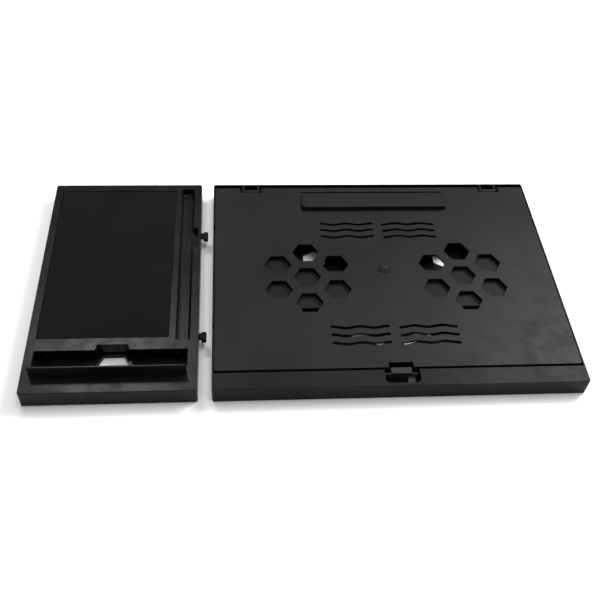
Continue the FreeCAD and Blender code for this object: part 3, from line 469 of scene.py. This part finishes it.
def make_materials():
    """One material for each slot of the record."""
    return {
        "black_abs": moulded("black_abs", (0.0052, 0.0053, 0.0060), gloss=0.10),
        "deck_abs": moulded("deck_abs", (0.0062, 0.0063, 0.0071), rough=0.5, gloss=0.09),
        "lid_abs": moulded("lid_abs", (0.0068, 0.0070, 0.0081), gloss=0.125),
        "tray_abs": moulded("tray_abs", (0.0046, 0.0047, 0.0052), rough=0.24, gloss=0.115,
                            ripple=0.05),
        "hook_abs": moulded("hook_abs", (0.0030, 0.0030, 0.0034), rough=0.5, gloss=0.05),
        "flap_abs": moulded("flap_abs", (0.0065, 0.0065, 0.007), rough=0.30, gloss=0.12,
                            coat=0.05),
        "latch_plastic": moulded("latch_plastic", (0.024, 0.0245, 0.0265), gloss=0.09),
        "badge_plastic": pressed_disc("badge_plastic"),
        "fan_plastic": moulded("fan_plastic", (0.010, 0.010, 0.011), rough=0.38),
        "black_rubber": rubber("black_rubber", (0.014, 0.014, 0.014)),
        "lead_pvc": rubber("lead_pvc", (0.018, 0.018, 0.019)),
        "bright_steel": metal("bright_steel", (0.60, 0.60, 0.59), 0.22, (60, 1, 1)),
        "black_steel": metal("black_steel", (0.06, 0.06, 0.062), 0.36),
        "zinc_steel": metal("zinc_steel", (0.50, 0.51, 0.52), 0.34),
        "plated_shell": metal("plated_shell", (0.66, 0.66, 0.64), 0.2),
        "bronze": metal("bronze", (0.42, 0.29, 0.15), 0.45),
        "copper_winding": windings("copper_winding"),
        "circuit_board": circuit("circuit_board"),
        "adhesive_film": film("adhesive_film"),
        "mat_fabric": cloth("mat_fabric"),
    }


def dress_nodes(materials):
    """Give every CAD node the material of its record slot."""
    slots = {part["node"]: part["material_slot"] for part in frame["record"]["subparts"]}
    for name, node in NODES.items():
        node.data.materials.clear()
        node.data.materials.append(materials[slots[name]])


# ---- new pieces --------------------------------------------------------------
def add_piece(mesh, name, material):
    """Object made of a finished bmesh."""
    bmesh.ops.recalc_face_normals(mesh, faces=mesh.faces)
    data = bpy.data.meshes.new(name)
    mesh.to_mesh(data)
    mesh.free()
    data.materials.append(material)
    piece = bpy.data.objects.new(name, data)
    SCENE.collection.objects.link(piece)
    return piece


def join_rings(mesh, one, two):
    """Faces between two closed rings of vertices."""
    for k in range(len(one)):
        mesh.faces.new((one[k], one[k - 1], two[k - 1], two[k]))


# ---- mouse mat ---------------------------------------------------------------
MAT_CORNER = 0.0018
MAT_EDGE = 0.0006                        # radius of the rolled upper edge
EDGE_DEGREES = (20, 40, 60, 80, 90)      # rings along the rolled edge
MAT_UNDERCUT = (0.0004, 0.0002)          # chamfer along the lower edge, inwards and upwards
MAT_STEP = 0.004                         # spacing of the points along the sides
CORNER_STEPS = 5
FACE_RINGS = (0.003, 0.006)              # insets of the rings on the flat face


def make_mat(materials):
    """Cloth mat with rounded corners and a rolled edge."""
    low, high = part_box("mouse_mat")
    width = high[0] - low[0]
    depth = high[1] - low[1]
    thick = high[2] - low[2]

    def ring(inset, z):
        """Rounded rectangle, the same number of points on every ring."""
        r = MAT_CORNER
        points = []
        x0, x1 = low[0] + inset + r, high[0] - inset - r
        y0, y1 = low[1] + inset + r, high[1] - inset - r
        corners = [((x1, y1), 0), ((x0, y1), 90), ((x0, y0), 180), ((x1, y0), 270)]
        sides = [round(width / MAT_STEP), round(depth / MAT_STEP)] * 2
        for k, ((cx, cy), start) in enumerate(corners):
            arc = [math.radians(start + 90 * j / CORNER_STEPS) for j in range(CORNER_STEPS + 1)]
            points += [Vector((cx + r * math.cos(a), cy + r * math.sin(a), z)) for a in arc]
            side_start = points[-1]
            (nx, ny), next_start = corners[(k + 1) % 4]
            turn = math.radians(next_start)
            side_end = Vector((nx + r * math.cos(turn), ny + r * math.sin(turn), z))
            points += [side_start.lerp(side_end, j / sides[k]) for j in range(1, sides[k])]
        return points

    mesh = bmesh.new()
    inwards, upwards = MAT_UNDERCUT
    profile = [(inwards, 0.0), (0.0, upwards), (0.0, thick - MAT_EDGE)]
    profile += [(MAT_EDGE * (1 - math.cos(a)), thick - MAT_EDGE * (1 - math.sin(a)))
                for a in (math.radians(d) for d in EDGE_DEGREES)]
    profile += [(inset, thick) for inset in FACE_RINGS]
    rows = [[mesh.verts.new(p) for p in ring(inset, low[2] + up)] for inset, up in profile]
    for lower, upper in zip(rows, rows[1:]):
        join_rings(mesh, lower, upper)
    bmesh.ops.contextual_create(mesh, geom=rows[0])
    mesh.faces.new(rows[-1])
    piece = add_piece(mesh, "mat_cloth", materials["mat_fabric"])
    for polygon in piece.data.polygons:
        polygon.use_smooth = len(polygon.vertices) == 4
    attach(piece, "tray")
    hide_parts("mouse_mat")


# ---- latch spring ------------------------------------------------------------
WIRE_R = 0.0002                          # radius of the wire
SPRING_TURNS = 6.5
SPRING_STEPS = 182                       # points along the wire
WIRE_SIDES = 8
CLOSED_PITCH = 0.055                     # how far the pitch closes up towards the ends
TANGENT_STEP = 0.002                     # share of the wire on either side of a ring


def make_spring(materials):
    """Coil spring with closed ends, attached to the base body with a mesh of its own."""
    low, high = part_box("latch_spring")
    centre_x = (low[0] + high[0]) / 2
    centre_z = (low[2] + high[2]) / 2
    coil = (high[0] - low[0]) / 2 - WIRE_R
    start, end = low[1] + WIRE_R, high[1] - WIRE_R
    angles = [2 * math.pi * j / WIRE_SIDES for j in range(WIRE_SIDES)]

    def at(t):
        """Point of the wire's middle line; the pitch closes up towards both ends."""
        a = 2 * math.pi * SPRING_TURNS * t
        y = start + (end - start) * (t - CLOSED_PITCH * math.sin(2 * math.pi * t))
        return Vector((centre_x + coil * math.cos(a), y, centre_z + coil * math.sin(a)))

    mesh = bmesh.new()
    rings = []
    for k in range(SPRING_STEPS + 1):
        t = k / SPRING_STEPS
        middle = at(t)
        forward = (at(min(t + TANGENT_STEP, 1)) - at(max(t - TANGENT_STEP, 0))).normalized()
        outward = (middle - Vector((centre_x, middle.y, centre_z))).normalized()
        across = forward.cross(outward).normalized()
        around = [math.cos(a) * outward + math.sin(a) * across for a in angles]
        rings.append([mesh.verts.new(middle + WIRE_R * away) for away in around])
    for one, two in zip(rings, rings[1:]):
        join_rings(mesh, one, two)
    mesh.faces.new(rings[0])
    mesh.faces.new(rings[-1])
    piece = add_piece(mesh, "latch_coil", materials["bright_steel"])
    for polygon in piece.data.polygons:
        polygon.use_smooth = True
    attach(piece, "base")
    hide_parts("latch_spring")
    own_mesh(piece)


# ---- all ---------------------------------------------------------------------
make_camera()
make_stage()
MATERIALS = make_materials()
dress_nodes(MATERIALS)
make_mat(MATERIALS)
make_spring(MATERIALS)
